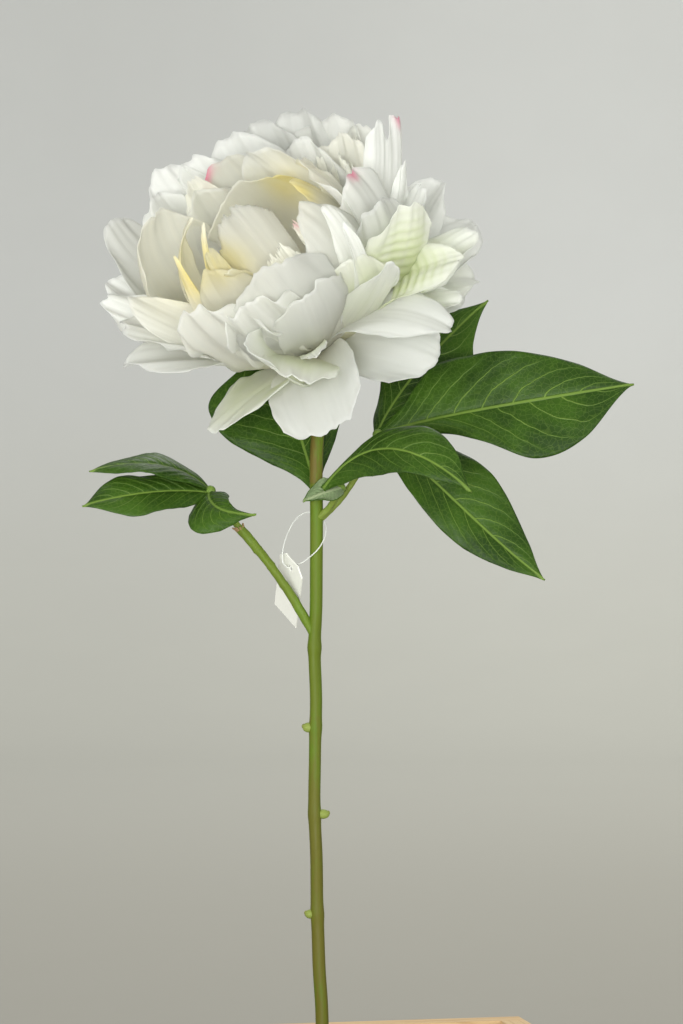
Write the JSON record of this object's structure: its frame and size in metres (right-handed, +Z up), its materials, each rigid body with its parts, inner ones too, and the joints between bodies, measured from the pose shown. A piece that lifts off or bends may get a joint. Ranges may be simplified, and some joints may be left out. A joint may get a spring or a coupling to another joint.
{
  "type": "potted peony",
  "caption": "Upright double peony bloom on a leafy stem with a side branch, planted in soil in a square wooden planter, with a blank hang tag.",
  "frame": {"origin": "centre of the planter's underside", "axes": "+Z up; the planter's boards lie along X and Y, and the pictured side of the flower faces -Y, turned 11.5 degrees towards -X"},
  "size_m": [0.2583, 0.246, 0.5794],
  "materials": {
    "wood": "planed, bare",
    "soil": "crumbly potting mix",
    "stem": "satin",
    "petal": "soft, translucent",
    "calyx": "satin",
    "leaf": "semi-gloss, pale veins",
    "card": "matte",
    "filament": "clear"
  },
  "bodies": {
    "root": {"board_front_1": "wood", "board_front_2": "wood", "board_back_1": "wood", "board_back_2": "wood", "board_left_1": "wood", "board_left_2": "wood", "board_right_1": "wood", "board_right_2": "wood", "planter_floor": "wood", "post_1": "wood", "post_2": "wood", "post_3": "wood", "post_4": "wood", "soil": "soil", "stem": "stem", "bloom": "petal", "calyx": "calyx", "leaf_right": "leaf", "leaf_front": "leaf", "leaf_rear": "leaf", "leaf_left": "leaf", "tag_card": "card", "tag_loop": "filament"}
  },
  "joints": []
}
